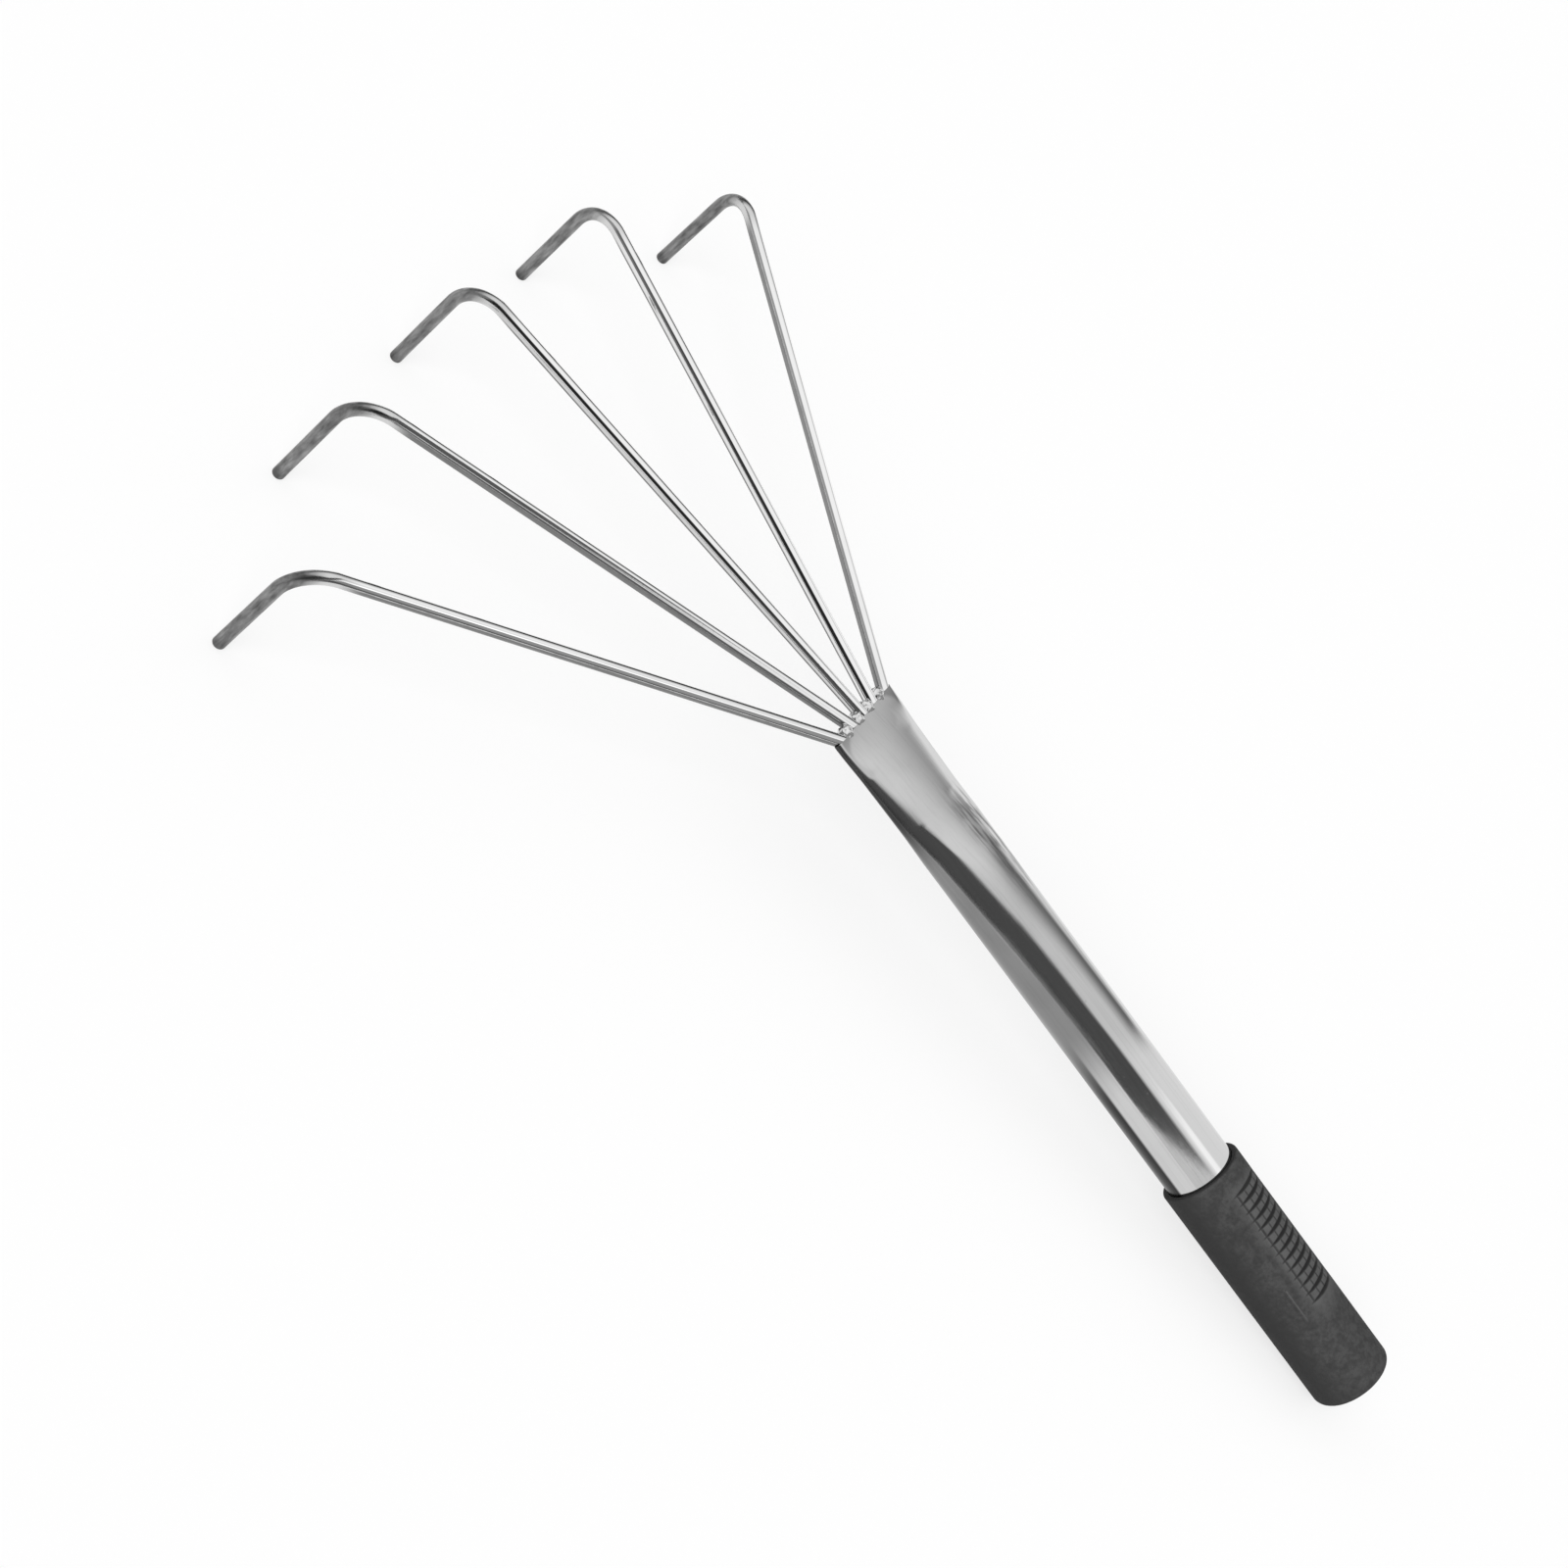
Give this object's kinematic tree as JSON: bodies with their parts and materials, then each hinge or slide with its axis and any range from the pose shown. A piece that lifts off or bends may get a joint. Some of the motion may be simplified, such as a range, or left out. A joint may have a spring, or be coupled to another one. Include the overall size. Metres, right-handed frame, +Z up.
{
  "type": "hand rake",
  "caption": "Hand rake: a fan of bent wire tines welded to the pressed end of a chromed tube, with a ribbed rubber grip on the other end.",
  "frame": {"origin": "on the ground under the middle of the whole rake, which stands on its tine tips and the end of its grip", "axes": "+X from the tines to the grip, +Y to the right of a person who holds the grip and looks towards the tines, +Z up"},
  "size_m": [0.4118, 0.237, 0.0443],
  "materials": {
    "tine_wire": "bright plated wire, duller on the legs",
    "tube": "bright plated tube",
    "weld": "plated weld bead",
    "grip": "matt moulded rubber"
  },
  "bodies": {
    "root": {"tine_left_outer": "tine_wire", "tine_left_inner": "tine_wire", "tine_centre": "tine_wire", "tine_right_inner": "tine_wire", "tine_right_outer": "tine_wire", "handle_tube": "tube", "weld_left_outer": "weld", "weld_left_inner": "weld", "weld_right_inner": "weld", "weld_right_outer": "weld", "grip_sleeve": "grip"}
  },
  "joints": []
}
